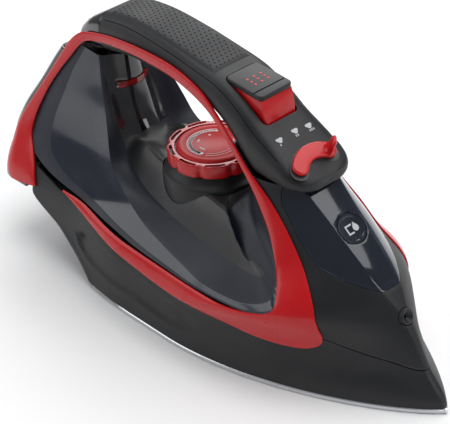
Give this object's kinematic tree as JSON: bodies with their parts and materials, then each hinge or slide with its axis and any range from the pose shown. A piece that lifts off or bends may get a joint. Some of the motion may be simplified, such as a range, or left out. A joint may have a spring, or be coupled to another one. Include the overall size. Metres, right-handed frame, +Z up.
{
  "type": "steam iron",
  "caption": "Household steam iron with a see-through tank, coloured trim, temperature dial under the grip, spray button, sliding steam control and an upright heel.",
  "frame": {"origin": "middle of the overall length and width, on the ironing plane under the soleplate", "axes": "+X towards the pointed toe, +Y towards the iron's left side, +Z up"},
  "size_m": [0.312, 0.118, 0.16],
  "materials": {
    "metal_sole": "satin ground steel, polished edge",
    "cast_alloy": "as cast",
    "element_steel": "heat-dulled steel tube",
    "ceramic_white": "unglazed steatite",
    "black_satin": "fine-grained satin",
    "smoky_tank": "smoky navy, polished, see-through",
    "navy_tank": "dark navy, glossy",
    "black_gloss": "polished black",
    "red_gloss": "polished red",
    "grip_black": "matt, with a pattern of small raised dots",
    "nylon_white": "moulded nylon",
    "red_satin": "satin red with pale printed marks",
    "lens_red": "ribbed dark red lens",
    "lamp_amber": "clear glass envelope"
  },
  "bodies": {
    "iron": {"soleplate": "metal_sole", "heater_block": "cast_alloy", "heating_element": "element_steel", "chamber_cover": "cast_alloy", "thermostat": "ceramic_white", "thermal_fuse": "ceramic_white", "lower_skirt": "black_satin", "nose_shell": "black_satin", "tank_window": "smoky_tank", "tank_shell": "navy_tank", "tank_base": "black_satin", "heel_shell": "black_gloss", "heel_base": "black_satin", "trim_right": "red_gloss", "trim_left": "red_gloss", "handle_shell": "black_satin", "grip_pad": "grip_black", "rear_cap": "black_gloss", "terminal_block": "nylon_white", "dial_boss": "black_satin", "pilot_lens": "lens_red", "pilot_lamp": "lamp_amber", "pump_body": "nylon_white", "spray_nozzle": "black_satin", "valve_plate": "nylon_white"},
    "dial": {"dial_ring": "red_gloss", "dial_disc": "red_satin", "dial_shaft": "element_steel"},
    "spray_button": {"button_cap": "black_satin", "button_body": "red_gloss", "pump_piston": "nylon_white"},
    "steam_control": {"steam_slider": "red_gloss", "slider_keeper": "element_steel"},
    "filler": {"filler_cap": "smoky_tank"},
    "cord_inlet": {"inlet_drum": "black_satin"}
  },
  "joints": [
    {"name": "dial_turn", "type": "hinge", "parent": "iron", "child": "dial", "pos_m": [-0.015, 0, 0.09], "axis": [0, 0, 1], "range_deg": [-150, 150]},
    {"name": "spray_press", "type": "slide", "parent": "iron", "child": "spray_button", "axis": [-0.0872, 0, -0.9962], "range_m": [0, 0.003], "stiffness_N_per_m": 700, "springref_m": -0.001},
    {"name": "steam_slide", "type": "hinge", "parent": "iron", "child": "steam_control", "pos_m": [0.0745, -0.002, 0.1115], "axis": [0.5278, 0, 0.8494], "range_deg": [0, 30]},
    {"name": "filler_open", "type": "hinge", "parent": "iron", "child": "filler", "pos_m": [0.08156, 0, 0.09119], "axis": [0, -1, 0], "range_deg": [0, 95]},
    {"name": "inlet_swivel", "type": "hinge", "parent": "iron", "child": "cord_inlet", "pos_m": [-0.099, 0, 0.1375], "axis": [0, 1, 0], "range_deg": [-30, 30]}
  ]
}
